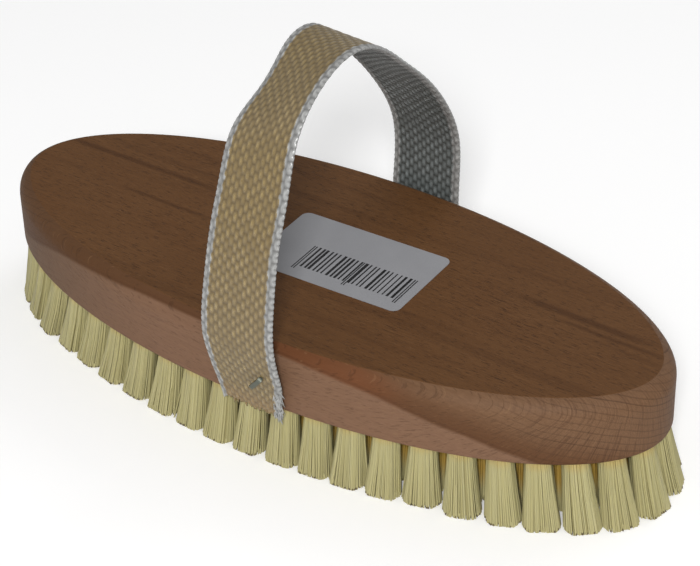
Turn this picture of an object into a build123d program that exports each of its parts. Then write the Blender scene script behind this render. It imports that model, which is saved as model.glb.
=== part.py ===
from build123d import *

import os
from math import atan2, cos, degrees, radians, sin, sqrt

# Palm brush: an oval wooden block with a webbing hand strap and a field of bristle tufts.
# Millimetres, +Z up, +X along the block. The origin lies in the plane of the cut bristle tips,
# under the centre of the block, and -Y is the side of the strap's outward leaning end.

# Block
block_length = 200.0
block_width = 84.0
block_thickness = 18.0
top_edge_radius = 4.2
bottom_edge_chamfer = 0.6
rim_width = 1.4

# Tuft holes and tufts
bristle_length = 19.0
hole_depth = 8.0
edge_distance = 5.0
ring_spacing = 8.5
tuft_pitch = 9.3
row_spacing = 9.4
row_pitch = 9.7
row_clearance = 8.6
tuft_root_radius = 3.2
tuft_tip_radius = 3.8
strand_gap = 0.2
strand_grip = 1.0
ring_lean_shares = (1.0, 0.55, 0.25)
ring_turn_shares = (0.62, 0.1, 0.6)
strands_per_tuft = 3
strand_turn = 30.0
seat_clearance = 0.1

# Flat wire anchors that hold the folded bristles in their holes
anchor_length = 7.0
anchor_height = 1.8
anchor_thickness = 0.4
anchor_clearance = 0.05

# Webbing strap
strap_width = 22.0
strap_thickness = 1.3
cut_width_share = 0.82
held_width_share = 0.96
loop_rise = 65.3
strap_end_drop = 0.5
strap_seat_gap = 0.1
near_strap_x = 7.0
far_strap_x = 2.2
near_strap_lift = 1.7
far_strap_lift = 0.6

# Staples
staple_wire_width = 1.1
staple_wire_thickness = 0.8
staple_crown = 6.2
staple_leg = 6.0
staple_bend = 0.8
staple_height = 8.9
staple_clearance = 0.1
near_staple_offset = 3.4
near_staple_angle = 49.0
far_staple_offset = 0.5
far_staple_angle = 30.0

# Label
label_length = 45.5
label_width = 27.5
label_thickness = 0.12
label_corner_radius = 2.2
label_x = 7.0
label_y = 0.6
label_angle = 1.9

# How far a tuft's tip leans in the outermost ring: at places along the block as shares of the
# ring's half length, the lean along the block, and the outward lean across it at the ring's side.
lean_place_shares = (-1.0, -0.85, -0.65, -0.4, -0.1, 0.3, 0.55, 0.7, 0.85, 1.0)
lean_along = (-3.0, -6.0, -6.2, -4.6, -2.2, -1.0, 0.2, 2.0, 4.6, 5.2)
lean_across = (0.0, 0.3, 0.1, 0.7, 1.6, 1.2, 0.8, 2.2, 4.5, 5.0)

# The free loop of the strap, from the near side to the far side: place across the block as a
# share of the strap's seat, height as a share of the loop's, place along the block as a share
# of the way from the far end's to the near end's.
loop_shares = (
    (-1.092, 0.242, 0.96),
    (-1.055, 0.424, 0.94),
    (-0.973, 0.586, 0.92),
    (-0.858, 0.728, 0.875),
    (-0.72, 0.857, 0.75),
    (-0.458, 0.948, 0.73),
    (-0.175, 1.0, 0.65),
    (0.1, 0.976, 0.5),
    (0.364, 0.869, 0.35),
    (0.616, 0.743, 0.23),
    (0.854, 0.588, 0.19),
    (1.01, 0.416, 0.125),
    (1.015, 0.193, 0.04),
)
# How the webbing is turned at each of those places, in degrees: about the vertical, and up
# at its +X edge.
loop_turns = (
    (0, 2), (-3, 2), (-5, 3), (-5, 6), (-7, 11), (-11, 18), (-9, 11),
    (-5, 1), (-1, -2), (1, -1), (0, 0), (-3, 0), (-3, 0),
)

# Levels and half sizes that follow from the sizes above
block_bottom = bristle_length
block_top = block_bottom + block_thickness
layer_top = block_bottom + hole_depth
half_length = block_length / 2
half_width = block_width / 2
recess_axes = (half_length - rim_width, half_width - rim_width)
ring_axes = [
    (half_length - edge_distance - step * ring_spacing, half_width - edge_distance - step * ring_spacing)
    for step in range(len(ring_lean_shares))
]
seam_axes = [(length - ring_spacing / 2, width - ring_spacing / 2) for length, width in ring_axes]


def tip_lean(spot, axes):
    """How far the outermost ring's tufts lean at a spot, as a vector from root to tip."""
    place_share = spot.X / axes[0]
    start = sum(1 for share in lean_place_shares[1:-1] if share < place_share)
    low, high = lean_place_shares[start], lean_place_shares[start + 1]
    blend_share = (place_share - low) / (high - low)
    along, across = [
        leans[start] + (leans[start + 1] - leans[start]) * blend_share
        for leans in (lean_along, lean_across)
    ]
    return Vector(along, across * spot.Y / axes[1], 0)


def ring_places(ring):
    """Evenly spaced tuft planes along one oval ring, x outward, with each tuft's lean."""
    with BuildLine() as oval:
        EllipticalCenterArc((0, 0), *ring_axes[ring], start_angle=0, arc_size=360)
    outline = oval.edge()
    count = round(outline.length / tuft_pitch)
    places = []
    for tuft in range(count):
        share = ((tuft + ring_turn_shares[ring]) / count) % 1
        spot = outline @ share
        along = outline % share
        lean = tip_lean(spot, ring_axes[ring]) * ring_lean_shares[ring]
        places.append((Plane(origin=spot, x_dir=(along.Y, -along.X, 0), z_dir=(0, 0, 1)), lean))
    return places


def row_places():
    """Upright tufts in straight rows inside the innermost ring."""
    length, width = ring_axes[-1]
    side_rows = int((width - row_clearance) / row_spacing)
    places = []
    for row in range(-side_rows, side_rows + 1):
        across = row * row_spacing
        reach = length * sqrt(1 - ((abs(across) + row_clearance) / width) ** 2)
        count = int(2 * reach / row_pitch) + 1
        for tuft in range(count):
            along = (tuft - (count - 1) / 2) * row_pitch
            place = Plane(origin=(along, across, 0), x_dir=(1, 0, 0), z_dir=(0, 0, 1))
            places.append((place, Vector(0, 0, 0)))
    return places


def strand_corners(radius, strand):
    """One rhombic third of a tuft's hexagon, drawn back from its neighbours."""
    middle = radians(strand_turn + 360 / strands_per_tuft * strand)
    shift = strand_gap / sqrt(3)
    corners = [(shift * cos(middle), shift * sin(middle))]
    for turn in (-60, 0, 60):
        angle = middle + radians(turn)
        corners.append((corners[0][0] + radius * cos(angle), corners[0][1] + radius * sin(angle)))
    return corners


def tuft_strands(place, lean):
    """The strands of one tuft: rooted in the drilled layer, spread and cut flat at the tips."""
    root = Plane(place.origin + Vector(0, 0, block_bottom + strand_grip), place.x_dir, place.z_dir)
    tip = Plane(place.origin + lean, place.x_dir, place.z_dir)
    strands = []
    for strand in range(strands_per_tuft):
        sections = []
        for plane, radius in ((tip, tuft_tip_radius), (root, tuft_root_radius)):
            with BuildSketch(plane) as section:
                Polygon(*strand_corners(radius, strand), align=None)
            sections.append(section.sketch)
        strands.append(loft(sections, ruled=True))
    return strands


def anchor_locations(places):
    """One anchor across each tuft, along its ring or row, in the top of the drilled layer."""
    spots = []
    for place, lean in places:
        angle = degrees(atan2(place.x_dir.Y, place.x_dir.X)) + 90
        spot = place.origin + Vector(0, 0, layer_top - anchor_height)
        spots.append(Location(tuple(spot), (0, 0, angle)))
    return spots


def tufted_layer(places, outer_axes, inner_axes, cuts):
    """A slice of the drilled layer with its anchor slots, and the tufts that fill its holes."""
    strands = [strand for place, lean in places for strand in tuft_strands(place, lean)]
    with BuildPart() as layer:
        with BuildSketch(Plane.XY.offset(block_bottom)):
            Ellipse(*outer_axes)
            if inner_axes:
                Ellipse(*inner_axes, mode=Mode.SUBTRACT)
        extrude(amount=hole_depth)
        with Locations(*anchor_locations(places)):
            Box(
                anchor_length + 2 * anchor_clearance,
                anchor_thickness + 2 * anchor_clearance,
                anchor_height,
                align=(Align.CENTER, Align.CENTER, Align.MIN),
                mode=Mode.SUBTRACT,
            )
        for cut in cuts:
            add(cut, mode=Mode.SUBTRACT)
        add(strands)
    return layer


def wall_plane(x, side):
    """The foot of the block's side wall at x: the plane's x runs along the wall, its z points out."""
    y = side * half_width * sqrt(1 - (x / half_length) ** 2)
    outward = Vector(x / half_length**2, y / half_width**2, 0).normalized()
    along_wall = (side * outward.Y, -side * outward.X, 0)
    return Plane(origin=(x, y, block_bottom), x_dir=along_wall, z_dir=outward)


# The strap's stations: its cut end and its staple on each side wall, and the free loop between
seat_distance = strap_seat_gap + strap_thickness / 2
loop_bottom = block_bottom - strap_end_drop
loop_height = block_top + loop_rise - strap_thickness / 2 - loop_bottom
near_wall = wall_plane(near_strap_x, -1)
far_wall = wall_plane(far_strap_x, 1)


def wall_stations(wall, lift):
    """The strap's centre at its cut end, and at its staple, where it stands off the wall."""
    end = wall.origin + wall.z_dir * seat_distance - Vector(0, 0, strap_end_drop)
    held = wall.origin + wall.z_dir * (seat_distance + lift) + Vector(0, 0, staple_height)
    return [end, held]


def loop_station(y_share, z_share, x_share):
    """The strap's centre at one place of the free loop."""
    wall = near_wall if y_share < 0 else far_wall
    seat = abs(wall.origin.Y) + seat_distance
    x = far_strap_x + (near_strap_x - far_strap_x) * x_share
    return Vector(x, y_share * seat, loop_bottom + z_share * loop_height)


def loop_direction(yaw, pitch):
    """The direction across the webbing at one place of the free loop."""
    flat = cos(radians(pitch))
    return Vector(cos(radians(yaw)) * flat, sin(radians(yaw)) * flat, sin(radians(pitch)))


strap_centres = wall_stations(near_wall, near_strap_lift)
strap_centres += [loop_station(*shares) for shares in loop_shares]
strap_centres += wall_stations(far_wall, far_strap_lift)[::-1]
strap_across = [near_wall.x_dir] * 2
strap_across += [loop_direction(*turns) for turns in loop_turns]
strap_across += [far_wall.x_dir] * 2
strap_width_shares = [cut_width_share, held_width_share]
strap_width_shares += [1] * len(loop_shares) + strap_width_shares[::-1]

with BuildLine() as strap_route:
    Spline(*strap_centres)


def strap_plane(station):
    """The webbing's section plane at a station: x across it, y towards the loop's inside."""
    route = strap_route.edge()
    centre = strap_centres[station]
    along = route.tangent_at(centre)
    level = strap_across[station] - along * strap_across[station].dot(along)
    return Plane(origin=centre, x_dir=level, z_dir=along)


def staple_plane(station, offset, angle):
    """A staple's plane on the strap's outer face: x along its crown, y outward."""
    section = strap_plane(station)
    outward = -section.y_dir
    up = section.z_dir if section.z_dir.Z > 0 else -section.z_dir
    crown = section.x_dir * cos(radians(angle)) + up * sin(radians(angle))
    origin = section.origin + outward * (strap_thickness / 2) + section.x_dir * offset
    return Plane(origin=origin, x_dir=crown, z_dir=crown.cross(outward))


leg_place = (staple_crown - staple_wire_thickness) / 2


def bent_staple(plane):
    """A flat wire staple whose crown stands one bend off the webbing."""
    with BuildPart() as staple:
        with BuildLine(plane) as bends:
            FilletPolyline(
                (-leg_place, -staple_leg),
                (-leg_place, staple_bend),
                (leg_place, staple_bend),
                (leg_place, -staple_leg),
                radius=staple_bend,
            )
        with BuildSketch(Plane(origin=bends.line @ 0, x_dir=plane.x_dir, z_dir=bends.line % 0)):
            Rectangle(staple_wire_thickness, staple_wire_width)
        sweep()
    return staple


def leg_holes(plane):
    """The two holes of a staple's legs, through the webbing and into the wood."""
    start = Plane(plane.origin + plane.y_dir * staple_bend, plane.x_dir, -plane.y_dir)
    with BuildPart() as holes:
        with BuildSketch(start):
            with Locations((-leg_place, 0), (leg_place, 0)):
                Rectangle(
                    staple_wire_thickness + 2 * staple_clearance,
                    staple_wire_width + 2 * staple_clearance,
                )
        extrude(amount=staple_bend + staple_leg + staple_clearance)
    return holes.part


near_staple_plane = staple_plane(1, near_staple_offset, near_staple_angle)
far_staple_plane = staple_plane(-2, far_staple_offset, far_staple_angle)
staple_holes = [leg_holes(near_staple_plane), leg_holes(far_staple_plane)]

# Block: an oval board with rounded edges, recessed underneath for the drilled layer
with BuildPart() as block:
    with BuildSketch(Plane.XY.offset(block_bottom)):
        Ellipse(half_length, half_width)
    extrude(amount=block_thickness)
    fillet(block.faces().sort_by(Axis.Z)[-1].edges(), radius=top_edge_radius)
    chamfer(block.faces().sort_by(Axis.Z)[0].edges(), length=bottom_edge_chamfer)
    with BuildSketch(Plane.XY.offset(block_bottom)):
        Ellipse(*recess_axes)
    extrude(amount=hole_depth, mode=Mode.SUBTRACT)
    add(staple_holes, mode=Mode.SUBTRACT)
block.part.label = "block"

# Tufts: three oval rings and the straight rows inside them
places_by_ring = [ring_places(ring) for ring in range(len(ring_axes))]
inner_places = row_places()


def inside(axes):
    """Half sizes of an oval that seats inside another with the seat clearance."""
    return (axes[0] - seat_clearance, axes[1] - seat_clearance)


tufts_outer_ring = tufted_layer(places_by_ring[0], inside(recess_axes), seam_axes[0], staple_holes)
tufts_outer_ring.part.label = "tufts_outer_ring"

tufts_second_ring = tufted_layer(places_by_ring[1], inside(seam_axes[0]), seam_axes[1], [])
tufts_second_ring.part.label = "tufts_second_ring"

tufts_third_ring = tufted_layer(places_by_ring[2], inside(seam_axes[1]), seam_axes[2], [])
tufts_third_ring.part.label = "tufts_third_ring"

tufts_inner_rows = tufted_layer(inner_places, inside(seam_axes[2]), None, [])
tufts_inner_rows.part.label = "tufts_inner_rows"

# Anchors: one flat wire on edge for each tuft
all_places = [place for places in places_by_ring for place in places] + inner_places
with BuildPart() as tuft_anchors:
    with Locations(*anchor_locations(all_places)):
        Box(
            anchor_length,
            anchor_thickness,
            anchor_height,
            align=(Align.CENTER, Align.CENTER, Align.MIN),
        )
tuft_anchors.part.label = "tuft_anchors"

# Strap: flat webbing, lofted through its stations and drawn in at its cut ends
with BuildPart() as strap:
    for station in range(len(strap_centres)):
        with BuildSketch(strap_plane(station)):
            Rectangle(strap_width * strap_width_shares[station], strap_thickness)
    loft()
    add(staple_holes, mode=Mode.SUBTRACT)
strap.part.label = "strap"

# Staples
strap_staple_near = bent_staple(near_staple_plane)
strap_staple_near.part.label = "strap_staple_near"
strap_staple_far = bent_staple(far_staple_plane)
strap_staple_far.part.label = "strap_staple_far"

# Label: a thin rounded sticker on the block's top face
with BuildPart() as label:
    with BuildSketch(Plane.XY.offset(block_top)):
        with Locations(Location((label_x, label_y), label_angle)):
            RectangleRounded(label_length, label_width, label_corner_radius)
    extrude(amount=label_thickness)
label.part.label = "label"

# How closely the tufts stand, at their roots and at their tips
root_points = [place.origin for place, lean in all_places]
tip_points = [place.origin + lean for place, lean in all_places]
for name, points, radius in (("root", root_points, tuft_root_radius), ("tip", tip_points, tuft_tip_radius)):
    nearest = min((a - b).length for i, a in enumerate(points) for b in points[:i])
    print("least gap between tufts at the", name, round(nearest - 2 * (radius + strand_gap), 2), "mm")
print("tufts", len(all_places), "strands", strands_per_tuft * len(all_places))
print("strap length", round(strap_route.edge().length, 1), "mm")

os.makedirs("parts", exist_ok=True)
export_step(block.part, "parts/block.step")
export_step(tufts_outer_ring.part, "parts/tufts_outer_ring.step")
export_step(tufts_second_ring.part, "parts/tufts_second_ring.step")
export_step(tufts_third_ring.part, "parts/tufts_third_ring.step")
export_step(tufts_inner_rows.part, "parts/tufts_inner_rows.step")
export_step(tuft_anchors.part, "parts/tuft_anchors.step")
export_step(strap.part, "parts/strap.step")
export_step(strap_staple_near.part, "parts/strap_staple_near.step")
export_step(strap_staple_far.part, "parts/strap_staple_far.step")
export_step(label.part, "parts/label.step")
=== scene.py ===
import random
from math import ceil, cos, floor, hypot, pi, radians, sin, sqrt

import bmesh
import bpy
import numpy as np
from mathutils import Matrix, Vector


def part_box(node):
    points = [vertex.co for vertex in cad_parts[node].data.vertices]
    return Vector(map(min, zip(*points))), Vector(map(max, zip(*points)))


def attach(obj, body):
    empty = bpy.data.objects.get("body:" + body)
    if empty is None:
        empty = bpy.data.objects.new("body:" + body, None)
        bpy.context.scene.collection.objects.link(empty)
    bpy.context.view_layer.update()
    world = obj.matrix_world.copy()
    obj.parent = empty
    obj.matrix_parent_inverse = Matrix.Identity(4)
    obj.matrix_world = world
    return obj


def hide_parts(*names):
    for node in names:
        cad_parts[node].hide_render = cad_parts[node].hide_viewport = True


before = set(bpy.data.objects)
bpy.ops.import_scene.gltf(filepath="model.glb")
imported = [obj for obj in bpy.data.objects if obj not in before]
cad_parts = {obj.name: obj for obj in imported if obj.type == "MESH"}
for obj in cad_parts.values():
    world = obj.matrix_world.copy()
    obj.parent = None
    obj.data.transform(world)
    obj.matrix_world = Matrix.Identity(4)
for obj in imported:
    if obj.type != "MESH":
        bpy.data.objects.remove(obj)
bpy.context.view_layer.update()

MM = 0.001

# The block's box at rest, in metres
block_low, block_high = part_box("block")
half_length = block_high.x
half_width = block_high.y
block_bottom = block_low.z
block_top = block_high.z

# Camera: fitted to the photograph
CAMERA_AZIMUTH = 35.756
CAMERA_ELEVATION = 34.319
CAMERA_ROLL = -1.575
CAMERA_DISTANCE = 589.35 * MM
CAMERA_LOOK = Vector((1.847, 7.654, 24.01)) * MM
FOCAL_PIXELS = 2226.35
PICTURE_WIDTH = 700
SENSOR_WIDTH = 36.0

# Strap: the same stations as the solid webbing's, in millimetres
STRAP_WIDTH = 22.0
STRAP_THICKNESS = 1.3
STRAP_SEAT_GAP = 0.1
STRAP_END_DROP = 0.5
LOOP_RISE = 65.3
NEAR_STRAP_X, FAR_STRAP_X = 7.0, 2.2
NEAR_LIFT, FAR_LIFT = 1.7, 0.6
STAPLE_HEIGHT = 8.9
CUT_SHARE, HELD_SHARE = 0.82, 0.96
LOOP_SHARES = (
    (-1.092, 0.242, 0.96), (-1.055, 0.424, 0.94), (-0.973, 0.586, 0.92), (-0.858, 0.728, 0.875),
    (-0.72, 0.857, 0.75), (-0.458, 0.948, 0.73), (-0.175, 1.0, 0.65), (0.1, 0.976, 0.5),
    (0.364, 0.869, 0.35), (0.616, 0.743, 0.23), (0.854, 0.588, 0.19), (1.01, 0.416, 0.125),
    (1.015, 0.193, 0.04),
)
LOOP_TURNS = (
    (0, 2), (-3, 2), (-5, 3), (-5, 6), (-7, 11), (-11, 18), (-9, 11),
    (-5, 1), (-1, -2), (1, -1), (0, 0), (-3, 0), (-3, 0),
)

# Weave: columns of floats, staggered, and loops of weft at the selvedges, in millimetres
WEAVE_STEP = 0.25
WEAVE_RELIEF = 0.30
COLUMNS = 16
SELVEDGE = 2.1
EDGE_ROUND = 0.75
FLOAT_LENGTH = 3.0
BEAD_LENGTH = 1.5

# Tufts: filaments round each core and cut ends over its tip, as counts and widths
TUFT_NODES = ("tufts_outer_ring", "tufts_second_ring", "tufts_third_ring", "tufts_inner_rows")
OUTER_SHELL, INNER_SHELL = (84, 0.46 * MM), (46, 0.46 * MM)
OUTER_FILL, INNER_FILL = (150, 0.66 * MM), (110, 0.76 * MM)
ROOT_RADIUS = 3.0 * MM
ROOT_SINK = 2.0 * MM
FIRST_SEED = 11
HOLE_RADIUS = 3.4 * MM
HOLE_DEPTH = 4.0 * MM

# Studio: name, place, size and power of each lamp
LAMPS = (
    ("key", (0.51, -0.81, 0.72), 0.2, 10.0),
    ("fill", (-0.8, -0.3, 0.6), 0.8, 0.8),
    ("back", (0.2, 0.9, 0.7), 0.8, 2.4),
)
LAMP_AIM = Vector((0, 0, 0.03))
WORLD_LIGHT = 0.4
FLOOR_REACH = 3.0
FLOOR_GLOW = 0.17


def link(obj):
    """Puts a new object into the scene."""
    bpy.context.scene.collection.objects.link(obj)
    return obj


def mesh_object(name, vertices, faces, smooth=True):
    """An object with a new mesh."""
    mesh = bpy.data.meshes.new(name)
    mesh.from_pydata([tuple(v) for v in vertices], [], faces)
    mesh.update()
    mesh.polygons.foreach_set("use_smooth", [smooth] * len(mesh.polygons))
    return link(bpy.data.objects.new(name, mesh))


def point_values(obj, name, values):
    """A value for each vertex, which a material can read."""
    attribute = obj.data.attributes.new(name, "FLOAT", "POINT")
    attribute.data.foreach_set("value", [float(value) for value in values])


def dress(obj, material):
    """Gives an object its material, in every slot that it has."""
    slots = obj.data.materials
    if not slots:
        slots.append(material)
    for index in range(len(slots)):
        slots[index] = material
    return obj


class Nodes:
    """A short way to write a material's node tree."""

    def __init__(self, name):
        self.material = bpy.data.materials.new(name)
        self.material.use_nodes = True
        self.tree = self.material.node_tree
        self.shader = self.tree.nodes["Principled BSDF"]
        self.made = 0

    def node(self, kind, inputs=None, **settings):
        """One node: its settings, and its inputs as values or as sockets to link."""
        made = self.tree.nodes.new(kind)
        made.location = (-220 * (self.made % 12), -180 * (self.made // 12))
        self.made += 1
        for key, value in settings.items():
            setattr(made, key, value)
        for key, value in (inputs or {}).items():
            self.put(made.inputs[key], value)
        return made

    def put(self, socket, value):
        if isinstance(value, bpy.types.NodeSocket):
            self.tree.links.new(value, socket)
        else:
            socket.default_value = value

    def math(self, operation, a, b=0.0, c=0.0):
        return self.node("ShaderNodeMath", {0: a, 1: b, 2: c}, operation=operation).outputs[0]

    def add(self, *terms):
        total = terms[0]
        for term in terms[1:]:
            total = self.math("ADD", total, term)
        return total

    def times(self, *terms):
        total = terms[0]
        for term in terms[1:]:
            total = self.math("MULTIPLY", total, term)
        return total

    def ramp(self, value, low, high):
        """0 at low, 1 at high, smooth between."""
        if low > high:
            return self.math("SUBTRACT", 1.0, self.ramp(value, high, low))
        made = self.node(
            "ShaderNodeMapRange",
            {"Value": value, "From Min": low, "From Max": high},
            interpolation_type="SMOOTHSTEP",
        )
        return made.outputs["Result"]

    def band(self, value, low, high, soft):
        """1 between low and high, 0 outside, with soft borders."""
        rise = self.ramp(value, low - soft, low + soft)
        fall = self.ramp(value, high + soft, high - soft)
        return self.times(rise, fall)

    def mix(self, factor, a, b):
        """A mix of two colours."""
        made = self.node("ShaderNodeMix", data_type="RGBA")
        self.put(made.inputs["Factor"], factor)
        self.put(made.inputs[6], a)
        self.put(made.inputs[7], b)
        return made.outputs[2]

    def vector(self, x, y, z):
        return self.node("ShaderNodeCombineXYZ", {"X": x, "Y": y, "Z": z}).outputs[0]

    def noise(self, vector, detail=2.0, rough=0.5, scale=1.0):
        made = self.node(
            "ShaderNodeTexNoise",
            {"Vector": vector, "Scale": scale, "Detail": detail, "Roughness": rough},
        )
        return made.outputs[0]

    def value(self, name):
        """A vertex value of the mesh."""
        return self.node("ShaderNodeAttribute", attribute_name=name).outputs["Fac"]

    def place(self):
        """The x, y and z of a point in millimetres, in the object's frame."""
        where = self.node("ShaderNodeTexCoord").outputs["Object"]
        scaled = self.node("ShaderNodeVectorMath", {0: where, 1: (1000.0,) * 3}, operation="MULTIPLY")
        parts = self.node("ShaderNodeSeparateXYZ", {0: scaled.outputs[0]})
        return parts.outputs[0], parts.outputs[1], parts.outputs[2]

    def bump(self, height, strength, distance):
        made = self.node("ShaderNodeBump", {"Height": height, "Strength": strength, "Distance": distance})
        self.put(self.shader.inputs["Normal"], made.outputs[0])

    def finish(self, tint, roughness, specular=0.5, metallic=0.0):
        self.put(self.shader.inputs["Base Color"], tint)
        self.put(self.shader.inputs["Roughness"], roughness)
        self.shader.inputs["Specular IOR Level"].default_value = specular
        self.shader.inputs["Metallic"].default_value = metallic
        return self.material


def colour(red, green, blue):
    """A linear colour from the 0 to 255 values that a picture shows."""
    def line(value):
        share = value / 255
        return share / 12.92 if share <= 0.04045 else ((share + 0.055) / 1.055) ** 2.4
    return (line(red), line(green), line(blue), 1.0)


def wood_material():
    """Beech: brown heart and paler sap about a pith above the block, with rings, rays and short flecks."""
    n = Nodes("beech_wood")
    x, y, z = n.place()
    height = n.math("SUBTRACT", z, block_bottom / MM)
    # Growth rings: their radius about a pith line that leans a little along the block
    pith_y, pith_height, pith_lean = 25.7, 80.4, 0.05
    across = n.math("SUBTRACT", y, pith_y)
    drop = n.math("SUBTRACT", pith_height, n.math("MULTIPLY_ADD", x, pith_lean, height))
    radius = n.math("SQRT", n.add(n.times(across, across), n.times(drop, drop)))
    warp = n.noise(n.vector(n.times(x, 0.02), n.times(y, 0.05), n.times(height, 0.05)))
    end_bend = n.times(n.math("MAXIMUM", n.math("ADD", x, -80.0), 0.0), 0.2)
    layer = n.add(radius, end_bend, n.math("MULTIPLY_ADD", warp, 2.4, -1.2))
    # Place among the rays: they fan out from a nearer line, but lie straight along the flat back
    back = n.ramp(height, 17.88, 17.97)
    off_back = n.math("SUBTRACT", 1.0, back)
    fan_y, fan_height = -8.0, 42.0
    fan = n.math("ARCTAN2", n.math("SUBTRACT", y, fan_y), n.math("SUBTRACT", fan_height, height))
    arc = n.add(n.times(fan, fan_height, off_back), n.times(y, back))
    ring_start, ring_width = 1.3, 1.7
    spacing = n.math("DIVIDE", n.math("ADD", layer, ring_start), ring_width)
    ring = n.math("FRACT", spacing)
    ring_strength = n.node(
        "ShaderNodeTexWhiteNoise", {"W": n.math("FLOOR", spacing)}, noise_dimensions="1D",
    ).outputs["Value"]
    ring_strength = n.math("MULTIPLY_ADD", ring_strength, 0.7, 0.3)
    line = n.times(n.ramp(ring, 0.7, 0.93), n.ramp(ring, 1.0, 0.95), ring_strength)
    end_share = n.ramp(n.math("ABSOLUTE", x), 62.0, 88.0)
    # Rays are thin radial sheets: short flecks on the long faces, lines on the ends
    fleck = n.noise(n.vector(n.times(x, 0.42), n.times(radius, 0.10), n.times(arc, 4.6)), 1.5, 0.6)
    dash = n.ramp(fleck, 0.585, 0.665)
    pale = n.ramp(fleck, 0.36, 0.28)
    ray = n.noise(n.vector(n.times(x, 0.02), n.times(radius, 0.09), n.times(arc, 1.9)), 1.0)
    ray_line = n.times(n.ramp(ray, 0.57, 0.64), end_share)
    grain = n.noise(n.vector(n.times(x, 0.05), n.times(radius, 1.9), n.times(arc, 1.9)), 4, 0.65)
    patch = n.noise(n.vector(n.times(x, 0.03), n.times(y, 0.07), n.times(height, 0.07)))
    # The flat back: broad streaks along the grain, and four dark ones
    streak = n.times(n.ramp(n.noise(n.vector(n.times(x, 0.008), n.times(y, 0.22), 3.0), 3), 0.5, 0.75), 0.6)
    drift = n.noise(n.vector(n.times(x, 0.03), 0.0, 9.0))
    shifted = n.math("MULTIPLY_ADD", drift, 2.4, n.math("ADD", y, -1.2))
    dark_streaks = (
        (9.2, 0.9, -94, -44, 6.0), (-3.2, 0.6, -64, -37, 6.0),
        (7.2, 0.6, 66, 94, 5.0), (10.4, 1.1, 53, 88, 6.0),
    )
    for middle, half, start, end, fade in dark_streaks:
        mark = n.times(n.band(shifted, middle - half, middle + half, 0.7), n.band(x, start, end, fade))
        streak = n.math("MAXIMUM", streak, mark)
    heart = n.mix(grain, colour(76, 46, 20), colour(106, 72, 42))
    heart = n.mix(n.times(patch, 0.35), heart, colour(110, 78, 48))
    heart = n.mix(n.times(streak, 0.55), heart, colour(60, 34, 14))
    # The rounded edge and the side: darker just above the border with the sap, one orange patch, and painted
    # shade towards the left end
    border = 91.8
    rim = n.mix(grain, colour(94, 66, 44), colour(122, 92, 68))
    rim = n.mix(n.times(n.ramp(layer, border - 9.0, border - 1.0), 0.75), rim, colour(84, 52, 28))
    near = n.ramp(y, 0.0, -20.0)
    orange = n.times(n.band(x, 6.0, 44.0, 9.0), n.ramp(layer, border - 7.0, border - 4.0), near)
    rim = n.mix(n.times(orange, 0.4), rim, colour(118, 66, 36))
    rim = n.mix(n.times(n.ramp(x, -20.0, -60.0), 0.75), rim, colour(84, 56, 32))
    sap = n.mix(grain, colour(104, 76, 58), colour(130, 99, 78))
    sap = n.mix(n.times(patch, 0.3), sap, colour(126, 94, 68))
    # Painted shade: the sap side darkens towards the left end.
    sap = n.mix(n.times(n.ramp(x, -20.0, -85.0), 0.8), sap, colour(98, 76, 58))
    side = n.mix(n.ramp(layer, border - 0.5, border + 0.5), rim, sap)
    body = n.mix(back, side, heart)
    lines = n.times(line, n.math("MULTIPLY_ADD", end_share, 0.5, 0.08), off_back)
    body = n.mix(lines, body, colour(58, 38, 24))
    border_line = n.band(layer, border - 0.9, border - 0.2, 0.4)
    body = n.mix(n.times(border_line, off_back, 0.35), body, colour(74, 46, 28))
    body = n.mix(n.times(ray_line, off_back, 0.4), body, colour(76, 50, 34))
    dash_strength = n.math("MULTIPLY_ADD", back, 0.34, 0.26)
    body = n.mix(n.times(dash, dash_strength), body, colour(50, 30, 14))
    body = n.mix(n.times(pale, 0.22), body, colour(140, 106, 74))
    relief = n.math("SUBTRACT", n.times(grain, 0.7), n.times(dash, 0.6))
    n.bump(relief, 0.4, 0.0003)
    return n.finish(body, n.math("MULTIPLY_ADD", grain, 0.16, 0.52), 0.15)


def bristle_material(name, root_glow_low, root_glow_high, root_glow_share, root_glow_tint):
    """Cream filaments: each a little different, with a painted orange-yellow glow at the roots for light
    through the filaments and off the wood, some with a dark cut end.
    """
    n = Nodes(name)
    x, y, z = n.place()
    tone = n.value("tone")
    fine = n.noise(n.vector(n.times(x, 1.1), n.times(y, 1.1), n.times(z, 0.1)))
    tint = n.mix(tone, colour(168, 159, 110), colour(186, 179, 134))
    tint = n.mix(n.times(n.ramp(fine, 0.35, 0.7), 0.5), tint, colour(180, 172, 122))
    dark = n.ramp(tone, 0.06, 0.02)
    tint = n.mix(n.times(dark, 0.45), tint, colour(130, 120, 76))
    # Painted light: the roots are tinted orange-yellow, standing in for light through the filaments and
    # bounced off the wood into the shade under the block.
    root_glow = n.times(n.ramp(z, root_glow_low, root_glow_high), root_glow_share)
    tint = n.mix(root_glow, tint, root_glow_tint)
    cut = n.times(n.ramp(n.value("end"), 0.4, 0.6), n.ramp(z, 0.8, 0.5))
    tint = n.mix(n.times(cut, 0.85), tint, colour(70, 52, 34))
    return n.finish(tint, 0.45, 0.35)


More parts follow.
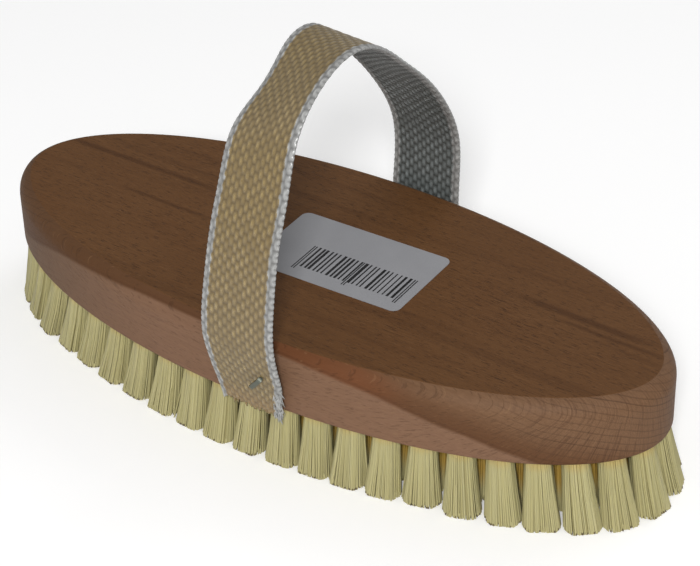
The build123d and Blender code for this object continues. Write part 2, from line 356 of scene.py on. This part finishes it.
def webbing_material():
    """Woven webbing: gold outside, grey-green inside, white selvedges; across and along in millimetres."""
    n = Nodes("webbing")
    across, along, inner = n.value("across"), n.value("along"), n.value("inner")
    fibre = n.noise(n.vector(n.times(across, 7.0), n.times(along, 0.9), n.times(inner, 40.0)), 2)
    patch = n.noise(n.vector(n.times(across, 0.12), n.times(along, 0.06), n.times(inner, 40.0)))
    recess_shade, tone = n.value("recess_shade"), n.value("tone")
    # The tone is a painted highlight on each float's crest and on each selvedge bead, mixed with the fibres'
    # own streaks.
    shade = n.math("MULTIPLY_ADD", tone, 0.62, n.times(fibre, 0.38))
    gold = n.mix(shade, colour(95, 77, 43), colour(170, 149, 102))
    gold = n.mix(n.times(patch, 0.35), gold, colour(118, 98, 58))
    gold = n.mix(n.times(n.ramp(along, 7.0, 0.0), 0.5), gold, colour(138, 108, 68))
    # Painted shade in the weave's recesses, on the gold face.
    gold = n.mix(n.times(recess_shade, 0.45), gold, colour(60, 46, 24))
    grey = n.mix(shade, colour(66, 70, 68), colour(146, 152, 152))
    # Painted shade in the recesses of the inner face.
    grey = n.mix(n.times(recess_shade, 0.75), grey, colour(34, 35, 30))
    body = n.mix(inner, gold, grey)
    white = n.mix(shade, colour(110, 109, 107), colour(194, 195, 193))
    # Painted shade in the recesses of the selvedges.
    white = n.mix(n.times(recess_shade, 0.6), white, colour(74, 73, 72))
    body = n.mix(n.value("selvedge"), body, white)
    n.bump(fibre, 0.3, 0.0001)
    return n.finish(body, n.math("MULTIPLY_ADD", tone, -0.34, 0.42), 0.8)


def label_material():
    """White film with a block of bars, a little turned on the film."""
    n = Nodes("label_film")
    x, y, z = n.place()
    turn = radians(1.9)
    centre_x, centre_y, first_bar = 7.0, 0.6, -11.37
    dx, dy = n.math("ADD", x, -centre_x), n.math("ADD", y, -centre_y)
    u = n.add(n.times(dx, cos(turn)), n.times(dy, sin(turn)), -first_bar)
    v = n.add(n.times(dx, -sin(turn)), n.times(dy, cos(turn)))
    # Bars: one in each cell, of a width and at a place that a noise gives
    cell_length, block_length = 1.32, 31.6
    bar_low, guard_low, bar_high = -8.9, -10.4, 1.0
    guard_width, guard_pitch, quiet = 0.33, 0.66, 1.2
    cell = n.math("DIVIDE", u, cell_length)
    index, share = n.math("FLOOR", cell), n.math("FRACT", cell)
    draws = n.node("ShaderNodeTexWhiteNoise", {"W": n.math("ADD", index, 0.37)}, noise_dimensions="1D")
    start = n.times(draws.outputs["Value"], 0.3)
    draws = n.node("ShaderNodeTexWhiteNoise", {"W": n.math("ADD", index, 71.61)}, noise_dimensions="1D")
    end = n.math("ADD", start, n.math("MULTIPLY_ADD", draws.outputs["Value"], 0.4, 0.28))
    bar = n.times(n.math("GREATER_THAN", share, start), n.math("LESS_THAN", share, end))
    inside = n.times(n.math("GREATER_THAN", u, quiet), n.math("LESS_THAN", u, block_length - quiet))
    bars = n.times(bar, inside, n.band(v, bar_low, bar_high, 0.05))
    # Pairs of longer guard bars at both ends and in the middle
    for first in (0.0, block_length / 2 - 0.5, block_length - 1.0):
        for step in (0.0, guard_pitch):
            own = n.band(u, first + step, first + step + guard_width, 0.02)
            bars = n.math("MAXIMUM", bars, n.times(own, n.band(v, guard_low, bar_high, 0.05)))
    smudge = n.noise(n.vector(n.times(x, 0.08), n.times(y, 0.08), 0.0), 3)
    film = n.mix(smudge, colour(138, 138, 141), colour(152, 152, 155))
    return n.finish(n.mix(n.times(bars, 0.97), film, colour(12, 11, 12)), 0.4, 0.2)


def plain_material(name, tint, roughness, metallic=0.0, specular=0.5):
    """A simple finish with fine colour and gloss variation."""
    n = Nodes(name)
    x, y, z = n.place()
    speck = n.noise(n.vector(x, y, z), 3, 0.5, 2.5)
    dark = tuple(channel * 0.75 for channel in tint[:3]) + (1.0,)
    rough = n.math("MULTIPLY_ADD", speck, 0.15, roughness - 0.07)
    return n.finish(n.mix(speck, dark, tint), rough, specular, metallic)


def oval_point(turn, inset=0.0):
    """A point of the block's outline at an angle, moved inward along its normal."""
    x, y = half_length * cos(turn), half_width * sin(turn)
    nx, ny = cos(turn) / half_length, sin(turn) / half_width
    size = hypot(nx, ny)
    return x - inset * nx / size, y - inset * ny / size


def block_profile():
    """Inset and height of the block's section, from the underside round to the flat back."""
    arc_radius, arc_start = 5.32 * MM, radians(70)
    low_edge, low_corner = 0.7 * MM, 0.2 * MM
    points = [(2.6 * MM, block_bottom), (low_edge, block_bottom),
              (low_corner, block_bottom + low_corner), (0.0, block_bottom + low_edge)]
    wall_top = block_top - arc_radius * sin(arc_start)
    points += [(0.0, block_bottom + (wall_top - block_bottom) * share) for share in (0.35, 0.7)]
    steps = 10
    for step in range(steps + 1):
        turn = arc_start * step / steps
        points.append((arc_radius * (1 - cos(turn)), wall_top + arc_radius * sin(turn)))
    points.append((points[-1][0] + 0.5 * MM, block_top))
    return points


def sharpen(obj, angle):
    """Smooth shading, apart from edges sharper than the angle in degrees."""
    work = bmesh.new()
    work.from_mesh(obj.data)
    for face in work.faces:
        face.smooth = True
    for edge in work.edges:
        edge.smooth = len(edge.link_faces) == 2 and edge.calc_face_angle(0) < radians(angle)
    work.to_mesh(obj.data)
    work.free()


def block_piece(material, tufts):
    """The wooden block: an oval board with its tuft holes drilled in the underside."""
    around = 360
    profile = block_profile()
    vertices, faces = [], []
    for inset, z in profile:
        for step in range(around):
            vertices.append((*oval_point(2 * pi * step / around, inset), z))
    for row in range(len(profile) - 1):
        for step in range(around):
            a, b = row * around + step, row * around + (step + 1) % around
            faces.append((a, b, b + around, a + around))
    faces.append(tuple(range(around))[::-1])
    last = (len(profile) - 1) * around
    faces.append(tuple(range(last, last + around)))
    block = mesh_object("wood_block", vertices, faces)

    sides = 20
    vertices, faces = [], []
    for root, tip in tufts:
        start = len(vertices)
        for z in (block_bottom - 1.0 * MM, block_bottom + HOLE_DEPTH):
            for side in range(sides):
                turn = 2 * pi * side / sides
                vertices.append((root.x + HOLE_RADIUS * cos(turn), root.y + HOLE_RADIUS * sin(turn), z))
        for side in range(sides):
            other = (side + 1) % sides
            faces.append((start + side, start + other, start + sides + other, start + sides + side))
        faces.append(tuple(start + side for side in range(sides))[::-1])
        faces.append(tuple(start + sides + side for side in range(sides)))
    drill = mesh_object("drill", vertices, faces, smooth=False)
    cut = block.modifiers.new("holes", "BOOLEAN")
    cut.operation = "DIFFERENCE"
    cut.solver = "EXACT"
    cut.object = drill
    drilled = bpy.data.meshes.new_from_object(block.evaluated_get(bpy.context.evaluated_depsgraph_get()))
    block.modifiers.clear()
    block.data = drilled
    bpy.data.objects.remove(drill)
    sharpen(block, 18)
    return dress(block, material)


def tuft_lines(node):
    """Root and tip of every tuft of a CAD node, read off its strands' own vertices."""
    one_tuft = 3.5 * MM
    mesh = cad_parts[node].data
    keys, parent = [], {}
    for vertex in mesh.vertices:
        key = tuple(round(value, 6) for value in vertex.co)
        keys.append(key)
        parent[key] = key

    def find(key):
        while parent[key] != key:
            parent[key] = parent[parent[key]]
            key = parent[key]
        return key

    under = block_bottom - 0.1 * MM
    for edge in mesh.edges:
        a, b = (keys[index] for index in edge.vertices)
        if min(a[2], b[2]) < under:
            parent[find(a)] = find(b)
    strands = {}
    for key in parent:
        strands.setdefault(find(key), []).append(key)
    tufts = []
    for strand in strands.values():
        tips = [Vector(key) for key in strand if key[2] < 0.1 * MM]
        roots = [Vector(key) for key in strand if key[2] > under]
        if not tips or not roots:
            continue
        root, tip = sum(roots, Vector()) / len(roots), sum(tips, Vector()) / len(tips)
        for tuft in tufts:
            if (tuft[0][0] - root).length < one_tuft:
                tuft[0].append(root)
                tuft[1].append(tip)
                break
        else:
            tufts.append(([root], [tip]))
    return [tuple(sum(spots, Vector()) / len(spots) for spots in tuft) for tuft in tufts]


class Rods:
    """A mesh of thin three-sided rods with closed ends, each with a tone and a share for its cut end."""

    sides = 3

    def __init__(self):
        self.vertices, self.faces, self.tones, self.ends, self.rims = [], [], [], [], []

    def add(self, path, width, spin, tone, end):
        sides, start = self.sides, len(self.vertices)
        for x, y, z in path:
            for corner in range(sides):
                turn = spin + corner * 2 * pi / sides
                self.vertices.append((x + width / 2 * cos(turn), y + width / 2 * sin(turn), z))
        for row in range(len(path) - 1):
            for corner in range(sides):
                a = start + row * sides + corner
                b = start + row * sides + (corner + 1) % sides
                self.faces.append((a, a + sides, b + sides, b))
        last = start + sides * (len(path) - 1)
        self.faces.append(tuple(start + corner for corner in range(sides)))
        self.faces.append(tuple(last + corner for corner in range(sides))[::-1])
        self.tones += [tone] * sides * len(path)
        self.ends += [end] * sides * len(path)
        self.rims += [(start, sides), (last, sides)]

    def add_core(self, rings, tones):
        """A closed bundle: rings of points from its top to its bottom, one tone for each column."""
        sides, start = len(rings[0]), len(self.vertices)
        for ring in rings:
            self.vertices += ring
        for row in range(len(rings) - 1):
            for corner in range(sides):
                a = start + row * sides + corner
                b = start + row * sides + (corner + 1) % sides
                self.faces.append((a, a + sides, b + sides, b))
        last = start + sides * (len(rings) - 1)
        self.faces.append(tuple(range(start, start + sides)))
        self.faces.append(tuple(range(last, last + sides))[::-1])
        self.tones += tones * len(rings)
        self.ends += [0.0] * sides * len(rings)
        self.rims += [(start, sides), (last, sides)]

    def piece(self, name, material):
        made = mesh_object(name, self.vertices, self.faces)
        point_values(made, "tone", self.tones)
        point_values(made, "end", self.ends)
        rim = np.zeros(len(self.vertices), bool)
        for first, sides in self.rims:
            rim[first:first + sides] = True
        pairs = np.empty(2 * len(made.data.edges), np.int32)
        made.data.edges.foreach_get("vertices", pairs)
        pairs = pairs.reshape(-1, 2)
        sharp = made.data.attributes.new("sharp_edge", "BOOLEAN", "EDGE")
        sharp.data.foreach_set("value", rim[pairs[:, 0]] & rim[pairs[:, 1]])
        return dress(made, material)


def disc_spots(count, radius, draw):
    """Places spread evenly over a disc, slightly disturbed."""
    golden = pi * (3 - sqrt(5))
    shake = 0.12 * radius / sqrt(count)
    spots = []
    for index in range(count):
        reach = radius * sqrt((index + 0.5) / count)
        turn = index * golden
        spots.append((reach * cos(turn) + draw.gauss(0, shake), reach * sin(turn) + draw.gauss(0, shake)))
    return spots


def tuft_piece(name, tufts, shell, fill, material, seed):
    """A group of tufts: a fluted core, a shell of fine filaments round it, and cut ends all over its tip."""
    draw = random.Random(seed)
    rods = Rods()
    core_inset, core_end, core_sides = 0.2 * MM, 0.9 * MM, 30
    corner_power = 6
    shell_count, shell_width = shell
    fill_count, fill_width = fill
    for root, tip in tufts:
        nx, ny = root.x / half_length ** 2, root.y / half_width ** 2
        size = hypot(nx, ny)
        ox, oy = (nx / size, ny / size) if size else (1.0, 0.0)
        lean = tip - root
        lean.x += draw.gauss(0, 0.3) * MM
        lean.y += draw.gauss(0, 0.2) * MM
        fan_out, fan_along = draw.uniform(0.08, 0.22), draw.uniform(0.5, 0.62)
        tuft_tone = draw.uniform(-0.1, 0.1)
        clump, clumps = draw.uniform(0, 2 * pi), draw.choice((2, 3, 3, 4))

        def place(out, along, z, stray_out=0.0, stray_along=0.0):
            """A point of the tuft, which is round at its root and wider and squarer towards its tip."""
            spread = min(1.0, max(0.0, 1 - z / block_bottom))
            reach = hypot(out, along)
            power_sum = abs(out) ** corner_power + abs(along) ** corner_power
            corner = power_sum ** (1 / corner_power) / reach if reach else 1.0
            square = 1 + (1 / corner - 1) * spread
            out_now = out * (1 + fan_out * spread) * square + stray_out * spread
            along_now = along * (1 + fan_along * spread) + stray_along * spread
            return (root.x + ox * out_now - oy * along_now + lean.x * spread,
                    root.y + oy * out_now + ox * along_now + lean.y * spread, z)

        def shaded(middle, wander):
            """A tone near the tuft's own."""
            return min(1.0, max(0.12, middle + tuft_tone + draw.gauss(0, wander)))

        flutes = [draw.uniform(0.95, 1.05) for side in range(core_sides)]
        rings = []
        for z, share in ((block_bottom + ROOT_SINK, 1.0), (block_bottom / 2, 0.98), (core_end, 0.94)):
            ring = []
            for side, flute in enumerate(flutes):
                turn, reach = 2 * pi * side / core_sides, (ROOT_RADIUS - core_inset) * flute * share
                ring.append(place(reach * cos(turn), reach * sin(turn), z))
            rings.append(ring)
        rods.add_core(rings, [shaded(0.45, 0.12) for flute in flutes])
        for index in range(shell_count):
            turn = 2 * pi * (index + draw.uniform(-0.3, 0.3)) / shell_count
            out, along = ROOT_RADIUS * cos(turn), ROOT_RADIUS * sin(turn)
            tone = shaded(0.55, 0.15)
            if draw.random() < 0.03:
                tone = 0.0
            end = 1.0 if draw.random() < 0.2 else 0.0
            split = 0.16 * MM * sin(clumps * turn + clump)
            stray_out, stray_along = draw.gauss(0, 0.07) * MM, draw.gauss(0, 0.09) * MM + split
            if draw.random() < 0.012:
                stray_along += draw.choice((-1, 1)) * draw.uniform(0.4, 1.0) * MM
            short = abs(draw.gauss(0, 0.09)) * MM
            bend = block_bottom * draw.uniform(0.4, 0.6)
            path = [place(out, along, z, stray_out, stray_along)
                    for z in (block_bottom + ROOT_SINK, bend, short)]
            rods.add(path, shell_width, draw.uniform(0, 2 * pi), tone, end)
        for out, along in disc_spots(fill_count, ROOT_RADIUS - 0.1 * MM, draw):
            tone = shaded(0.5, 0.16)
            end = 1.0 if draw.random() < 0.2 else 0.0
            short = abs(draw.gauss(0, 0.1)) * MM
            path = [place(out, along, z) for z in (core_end + 0.6 * MM, short)]
            rods.add(path, fill_width, draw.uniform(0, 2 * pi), tone, end)
    return rods.piece(name, material)


def wall_plane(x, side):
    """Foot, direction along and outward normal of the block's wall at x, in millimetres."""
    a, b = half_length / MM, half_width / MM
    outward = Vector((x / a ** 2, side * b * sqrt(1 - (x / a) ** 2) / b ** 2, 0)).normalized()
    foot = Vector((x, side * b * sqrt(1 - (x / a) ** 2), block_bottom / MM))
    return foot, Vector((side * outward.y, -side * outward.x, 0)), outward


def strap_stations():
    """Centre, direction across and width share of the webbing at each of its stations."""
    seat = STRAP_SEAT_GAP + STRAP_THICKNESS / 2
    low = block_bottom / MM - STRAP_END_DROP
    tall = block_top / MM + LOOP_RISE - STRAP_THICKNESS / 2 - low
    near, far = wall_plane(NEAR_STRAP_X, -1), wall_plane(FAR_STRAP_X, 1)

    def ends(wall, lift):
        foot, along_wall, outward = wall
        cut = foot + outward * seat - Vector((0, 0, STRAP_END_DROP))
        held = foot + outward * (seat + lift) + Vector((0, 0, STAPLE_HEIGHT))
        return [(cut, along_wall, CUT_SHARE), (held, along_wall, HELD_SHARE)]

    loop = []
    for (y_share, z_share, x_share), (yaw, pitch) in zip(LOOP_SHARES, LOOP_TURNS):
        reach = abs((near if y_share < 0 else far)[0].y) + seat
        x = FAR_STRAP_X + (NEAR_STRAP_X - FAR_STRAP_X) * x_share
        centre = Vector((x, y_share * reach, low + z_share * tall))
        yaw, pitch = radians(yaw), radians(pitch)
        loop.append((centre, Vector((cos(yaw) * cos(pitch), sin(yaw) * cos(pitch), sin(pitch))), 1.0))
    return ends(near, NEAR_LIFT) + loop + ends(far, FAR_LIFT)[::-1]


def cubic_curve(knots, values):
    """A cubic spline through values at knots: a function that gives the value and the slope."""
    knots, values = np.asarray(knots, float), np.asarray(values, float)
    count = len(knots)
    gaps = np.diff(knots)
    system, right = np.zeros((count, count)), np.zeros(values.shape)
    system[0, 0] = system[-1, -1] = 1.0
    for i in range(1, count - 1):
        system[i, i - 1:i + 2] = (gaps[i - 1], 2 * (gaps[i - 1] + gaps[i]), gaps[i])
        right[i] = 3 * ((values[i + 1] - values[i]) / gaps[i] - (values[i] - values[i - 1]) / gaps[i - 1])
    second = np.linalg.solve(system, right)

    def at(place):
        i = min(max(int(np.searchsorted(knots, place)) - 1, 0), count - 2)
        h, t = gaps[i], place - knots[i]
        first = (values[i + 1] - values[i]) / h - h * (2 * second[i] + second[i + 1]) / 3
        third = (second[i + 1] - second[i]) / (3 * h)
        return (values[i] + first * t + second[i] * t ** 2 + third * t ** 3,
                first + 2 * second[i] * t + 3 * third * t ** 2)

    return at


def strap_frames(step):
    """The webbing's length, centre, directions and width share, at places a step in millimetres apart."""
    stations = strap_stations()
    centres = np.array([tuple(centre) for centre, across, share in stations])
    knots = np.concatenate(([0.0], np.cumsum(np.linalg.norm(np.diff(centres, axis=0), axis=1))))
    route = cubic_curve(knots, centres)
    turning = cubic_curve(knots, [tuple(across) for centre, across, share in stations])
    widths = [share for centre, across, share in stations]
    fine = np.linspace(0, knots[-1], 2001)
    path = np.array([route(place)[0] for place in fine])
    lengths = np.concatenate(([0.0], np.cumsum(np.linalg.norm(np.diff(path, axis=0), axis=1))))
    count = ceil(lengths[-1] / step)
    frames = []
    for index in range(count + 1):
        length = lengths[-1] * index / count
        place = float(np.interp(length, lengths, fine))
        centre, slope = route(place)
        tangent = slope / np.linalg.norm(slope)
        across = turning(place)[0]
        across = across - tangent * across.dot(tangent)
        across /= np.linalg.norm(across)
        outward = np.cross(across, tangent)
        frames.append((length, centre, across, outward, tangent, float(np.interp(place, knots, widths))))
    return frames


def hashed(a, b):
    """A number from 0 to 1 that looks random, the same each time for the same pair."""
    value = sin(a * 12.9898 + b * 78.233 + 4.1) * 43758.5453
    return value - floor(value)


def weave(u, v, half):
    """The webbing's surface at u across and v along: its height, painted recess shade, tone with its painted
    crest highlight, and selvedge share.
    """
    pitch = 2 * half / COLUMNS
    place = (min(max(u, -half + 1e-6), half - 1e-6) + half) / pitch
    column = floor(place)
    side = place - column - 0.5
    phase = v / FLOAT_LENGTH + 0.5 * (column % 2) + 0.12 * hashed(column, 3)
    grain = abs(sin(pi * phase)) ** 0.7
    ridge = sqrt(max(0.0, 1 - (side / 0.56) ** 2))
    # Painted highlight: each float is lighter at its crest, by a random amount for each float; the tone also
    # makes the crest glossier.
    crest = max(0.0, 1 - (side / 0.4) ** 2) * grain ** 2.8
    tone = crest * (0.3 + 0.7 * hashed(column, floor(phase)))
    height = WEAVE_RELIEF * ridge * (0.12 + 0.88 * grain) * (0.9 + 0.1 * tone)
    # Painted shade: how deep a point lies between floats and columns, which the material darkens.
    recess_shade = min(1.0, 0.95 * (1 - grain) ** 1.6 + 0.45 * (1 - ridge))
    border = half - SELVEDGE + 0.16 * sin(2 * pi * v / FLOAT_LENGTH)
    border += 0.25 * (hashed(floor(v / 1.1), 9) - 0.5)
    white = min(1.0, max(0.0, (abs(u) - border) / 0.15 + 0.5))
    return height, recess_shade, tone, white


class Skin:
    """A mesh with the webbing's vertex values."""

    names = ("across", "along", "inner", "recess_shade", "tone", "selvedge")

    def __init__(self):
        self.vertices, self.faces, self.values = [], [], []

    def ring(self, points, values):
        """Adds a ring of points and their values."""
        self.vertices += points
        self.values += values

    def tube(self, first, count, rows):
        """Faces for rings that follow one another, with both ends closed."""
        for row in range(rows - 1):
            for step in range(count):
                a, b = first + row * count + step, first + row * count + (step + 1) % count
                self.faces.append((a, b, b + count, a + count))
        self.faces.append(tuple(range(first, first + count))[::-1])
        last = first + (rows - 1) * count
        self.faces.append(tuple(range(last, last + count)))

    def piece(self, name, material):
        made = mesh_object(name, self.vertices, self.faces)
        for index, value_name in enumerate(self.names):
            point_values(made, value_name, [values[index] for values in self.values])
        return dress(made, material)


def strap_piece(frames, material):
    """The woven strap: both faces and the rounded selvedges as one closed skin with its weave."""
    half_skin = STRAP_THICKNESS / 2 - WEAVE_RELIEF
    half = STRAP_WIDTH / 2
    steps = COLUMNS * 5
    rim_steps = 6
    inner_shift = 0.75
    edge = EDGE_ROUND
    flat = [-(half - edge) + 2 * (half - edge) * step / steps for step in range(steps + 1)]
    rims = [half - edge + edge * sin(pi / 2 * step / rim_steps) for step in range(1, rim_steps + 1)]
    spots = [-u for u in rims[::-1]] + flat + rims
    ring = [(u, 1) for u in spots] + [(u, -1) for u in spots[::-1][1:-1]]
    skin = Skin()
    for length, centre, side, outward, tangent, share in frames:
        bead = abs(sin(pi * length / BEAD_LENGTH)) ** 0.7
        points, values = [], []
        for u, face in ring:
            inner = 0.0 if face > 0 else 1.0
            height, recess_shade, tone, white = weave(u, length + inner_shift * inner, half)
            rim = max(0.0, (abs(u) - half + edge) / edge)
            fall = sqrt(max(0.0, 1 - rim ** 2))
            # The edge's loops of weft: a row of beads that also makes the outline wavy, with painted shade
            # between the beads and a painted highlight on each.
            beads = rim * (1 - 0.5 * rim)
            recess_shade = recess_shade * (1 - beads) + (1 - bead) * beads
            tone = tone * (1 - beads) + bead ** 3 * beads
            spread = u * share * (1 + 0.02 * (bead - 0.6) * rim)
            rise = (half_skin + height * (1 - 0.4 * rim)) * fall
            points.append((centre + side * spread + outward * (face * rise)) * MM)
            values.append((u, length, inner, recess_shade, tone, white))
        skin.ring(points, values)
    skin.tube(0, len(ring), len(frames))
    return skin.piece("strap_webbing", material)


def fray_piece(frames, material):
    """The cut end's loose yarns: short gold and white stubs, and a teased white tail at one selvedge."""
    draw = random.Random(5)
    half = STRAP_WIDTH / 2
    pitch = STRAP_WIDTH / COLUMNS
    rooted, loose_fibres, teased_length = 0.6, 70, 9.0
    skin = Skin()

    def yarn(path, wide, thick, side, outward, value):
        """A closed rounded yarn along a path, thinner at its ends."""
        sides, first = 8, len(skin.vertices)
        for index, point in enumerate(path):
            size = (0.9, 1.0, 0.95, 0.55)[min(3, round(index * 3 / (len(path) - 1)))]
            points = []
            for corner in range(sides):
                turn = 2 * pi * corner / sides
                points.append((point + side * (wide / 2 * size * cos(turn)) +
                               outward * (thick / 2 * size * sin(turn))) * MM)
            skin.ring(points, [value] * sides)
        skin.tube(first, sides, len(path))

    length, centre, side, outward, tangent, share = frames[0]
    for column in range(COLUMNS):
        u = (column + 0.5) * pitch - half
        white = abs(u) > half - SELVEDGE
        for part in (-0.25, 0.25):
            spot = centre + side * ((u + part * pitch) * share) + outward * draw.uniform(-0.15, 0.25)
            reach = draw.uniform(0.5, 1.8) if not white else draw.uniform(0.5, 2.0)
            sway = side * draw.gauss(0, 0.12) + outward * draw.uniform(-0.05, 0.15)
            path = [spot + tangent * rooted - tangent * (reach + rooted) * step / 3 + sway * (step / 3) ** 2
                    for step in range(4)]
            # Values: across, along, inner, a little painted recess shade, a random tone and the selvedge
            # share.
            yarn(path, 0.62, 0.55, side, outward, (u, 0.0, 0.0, 0.15, draw.random(), 1.0 if white else 0.0))
    for index in range(loose_fibres):
        v = draw.uniform(0.0, 1.0) ** 1.6 * teased_length
        length, centre, side, outward, tangent, share = frames[round(v / WEAVE_STEP)]
        u = draw.uniform(half - 2.6, half + 0.1)
        spot = centre + side * (u * share) + outward * draw.uniform(0.1, 0.6)
        reach = draw.uniform(1.2, 3.0)
        sway = side * draw.uniform(-0.3, 1.0) + outward * draw.uniform(-0.1, 0.5)
        path = [spot - tangent * reach * step / 4 + sway * (step / 4) ** 1.6 for step in range(5)]
        # A little painted recess shade on the loose fibres too.
        yarn(path, 0.26, 0.26, side, outward, (u, v, 0.0, 0.1, draw.random(), 1.0))
    return skin.piece("strap_frayed_end", material)


def make_camera():
    """The photograph's viewpoint."""
    azimuth, elevation, roll = radians(CAMERA_AZIMUTH), radians(CAMERA_ELEVATION), radians(CAMERA_ROLL)
    back = Vector((sin(azimuth) * cos(elevation), -cos(azimuth) * cos(elevation), sin(elevation)))
    level = Vector((0, 0, 1)).cross(back).normalized()
    upright = back.cross(level)
    right = level * cos(roll) + upright * sin(roll)
    up = upright * cos(roll) - level * sin(roll)
    camera = link(bpy.data.objects.new("camera", bpy.data.cameras.new("camera")))
    turn = Matrix((right, up, back)).transposed().to_4x4()
    camera.matrix_world = Matrix.Translation(CAMERA_LOOK + back * CAMERA_DISTANCE) @ turn
    camera.data.sensor_width = SENSOR_WIDTH
    camera.data.lens = SENSOR_WIDTH * FOCAL_PIXELS / PICTURE_WIDTH
    camera.data.clip_start = 0.01
    bpy.context.scene.camera = camera


def make_light(name, place, size, power):
    """A square soft lamp that faces the object."""
    lamp = bpy.data.lights.new(name, "AREA")
    lamp.size = size
    lamp.energy = power
    obj = link(bpy.data.objects.new(name, lamp))
    obj.location = place
    obj.rotation_mode = "QUATERNION"
    obj.rotation_quaternion = (LAMP_AIM - Vector(place)).to_track_quat("-Z", "Y")


def make_studio():
    """Pale floor that keeps the shadow, white surroundings, a lamp by the camera and two soft fills."""
    scene = bpy.context.scene
    scene.view_settings.view_transform = "Standard"
    world = bpy.data.worlds.new("studio")
    scene.world = world
    world.use_nodes = True
    tree = world.node_tree
    background = tree.nodes["Background"]
    paths = tree.nodes.new("ShaderNodeLightPath")
    power = tree.nodes.new("ShaderNodeMapRange")
    power.inputs["To Min"].default_value = WORLD_LIGHT
    power.inputs["To Max"].default_value = 1.0
    tree.links.new(paths.outputs["Is Camera Ray"], power.inputs["Value"])
    tree.links.new(power.outputs[0], background.inputs["Strength"])
    background.inputs["Color"].default_value = (1, 1, 1, 1)

    corners = [(FLOOR_REACH * x, FLOOR_REACH * y, 0) for x, y in ((-1, -1), (1, -1), (1, 1), (-1, 1))]
    floor_plane = mesh_object("floor", corners, [(0, 1, 2, 3)])
    n = Nodes("floor")
    glow = n.times(n.node("ShaderNodeLightPath").outputs["Is Camera Ray"], FLOOR_GLOW)
    n.put(n.shader.inputs["Emission Strength"], glow)
    n.shader.inputs["Emission Color"].default_value = (1, 1, 1, 1)
    dress(floor_plane, n.finish((0.92, 0.92, 0.92, 1), 0.9, 0.0))

    for name, place, size, power in LAMPS:
        make_light(name, place, size, power)


make_camera()
make_studio()

tufts = {node: tuft_lines(node) for node in TUFT_NODES}

block = block_piece(wood_material(), [tuft for node in TUFT_NODES for tuft in tufts[node]])
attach(block, "root")
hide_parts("block")

# Painted root glow: just under the wood on the outer tufts, and far down the inner ones that show through
# the gaps.
outer_bristle = bristle_material("bristle_outer", 15.5, 19.0, 0.4, colour(186, 146, 48))
inner_bristle = bristle_material("bristle_inner", 2.0, 10.0, 0.85, colour(168, 132, 46))
for group, node in enumerate(TUFT_NODES):
    if group == 0:
        shell, fill, finish = OUTER_SHELL, OUTER_FILL, outer_bristle
    else:
        shell, fill, finish = INNER_SHELL, INNER_FILL, inner_bristle
    piece = tuft_piece("bristles_" + str(group + 1), tufts[node], shell, fill, finish, FIRST_SEED + group)
    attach(piece, "root")
    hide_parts(node)

webbing = webbing_material()
strap_path = strap_frames(WEAVE_STEP)
strap = strap_piece(strap_path, webbing)
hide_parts("strap")
for piece in (strap, fray_piece(strap_path, webbing)):
    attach(piece, "root")

staple_steel = plain_material("staple_steel", colour(112, 116, 106), 0.42, metallic=0.8)
for node in ("strap_staple_near", "strap_staple_far"):
    dress(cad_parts[node], staple_steel)
anchor_steel = plain_material("anchor_steel", colour(150, 150, 148), 0.4, metallic=0.9)
dress(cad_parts["tuft_anchors"], anchor_steel)
dress(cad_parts["label"], label_material())
